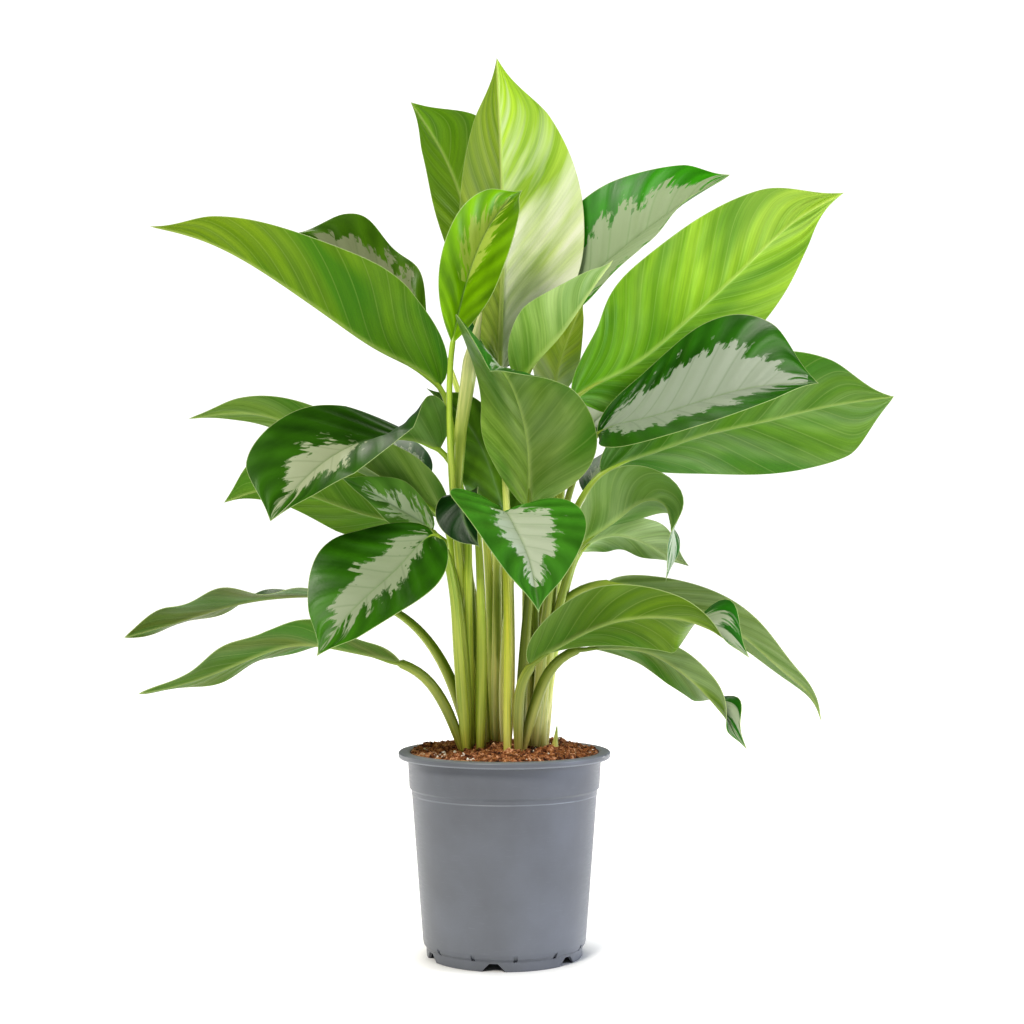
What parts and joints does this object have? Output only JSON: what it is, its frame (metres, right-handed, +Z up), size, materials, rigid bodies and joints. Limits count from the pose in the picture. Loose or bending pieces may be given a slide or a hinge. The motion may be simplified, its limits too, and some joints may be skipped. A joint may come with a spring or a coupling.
{
  "type": "potted plant",
  "caption": "Potted Chinese evergreen: silver-patterned leaves on upright stalks, in a round tapered nursery pot with a stepped rim.",
  "frame": {"origin": "on the floor, on the pot's axis, under the middle of the plant's bounding box", "axes": "+Z up along the pot's axis, -Y towards the viewer of the front, +X to the viewer's right"},
  "size_m": [0.7755, 0.4126, 0.9001],
  "materials": {
    "pot_plastic": "satin",
    "potting_soil": "matte",
    "leaf_stalk": "satin",
    "leaf_dark_green": "satin",
    "leaf_mid_green": "satin",
    "leaf_lime_green": "satin",
    "leaf_cream_green": "satin",
    "leaf_silver_green": "satin"
  },
  "bodies": {
    "root": {"pot": "pot_plastic", "soil": "potting_soil", "shoot_left": "leaf_stalk", "shoot_centre": "leaf_stalk", "shoot_right": "leaf_stalk", "shoot_front_right": "leaf_stalk", "shoot_front": "leaf_stalk", "shoot_spike": "leaf_stalk", "leaf_tall_centre": "leaf_cream_green", "leaf_tall_left": "leaf_mid_green", "leaf_young_centre": "leaf_lime_green", "leaf_high_left": "leaf_mid_green", "leaf_back_left": "leaf_dark_green", "leaf_high_right": "leaf_silver_green", "leaf_slim_right": "leaf_cream_green", "leaf_young_right": "leaf_lime_green", "leaf_broad_right": "leaf_lime_green", "leaf_silver_right": "leaf_silver_green", "leaf_far_right": "leaf_mid_green", "leaf_centre_fold": "leaf_mid_green", "leaf_centre_shade": "leaf_dark_green", "leaf_silver_left": "leaf_dark_green", "leaf_mid_left": "leaf_mid_green", "leaf_small_left": "leaf_dark_green", "leaf_long_left": "leaf_mid_green", "leaf_low_silver_left": "leaf_dark_green", "leaf_low_left_upper": "leaf_dark_green", "leaf_low_left_lower": "leaf_dark_green", "leaf_front_silver": "leaf_silver_green", "leaf_arched_right": "leaf_mid_green", "leaf_small_right": "leaf_mid_green", "leaf_low_right": "leaf_mid_green", "leaf_low_far_right": "leaf_mid_green", "leaf_low_slim_right": "leaf_dark_green", "leaf_front_shade": "leaf_dark_green", "leaf_rear_upper": "leaf_dark_green", "leaf_rear_right": "leaf_dark_green", "leaf_rear_centre": "leaf_dark_green", "leaf_rear_low_left": "leaf_dark_green", "leaf_rear_low_right": "leaf_dark_green"}
  },
  "joints": []
}
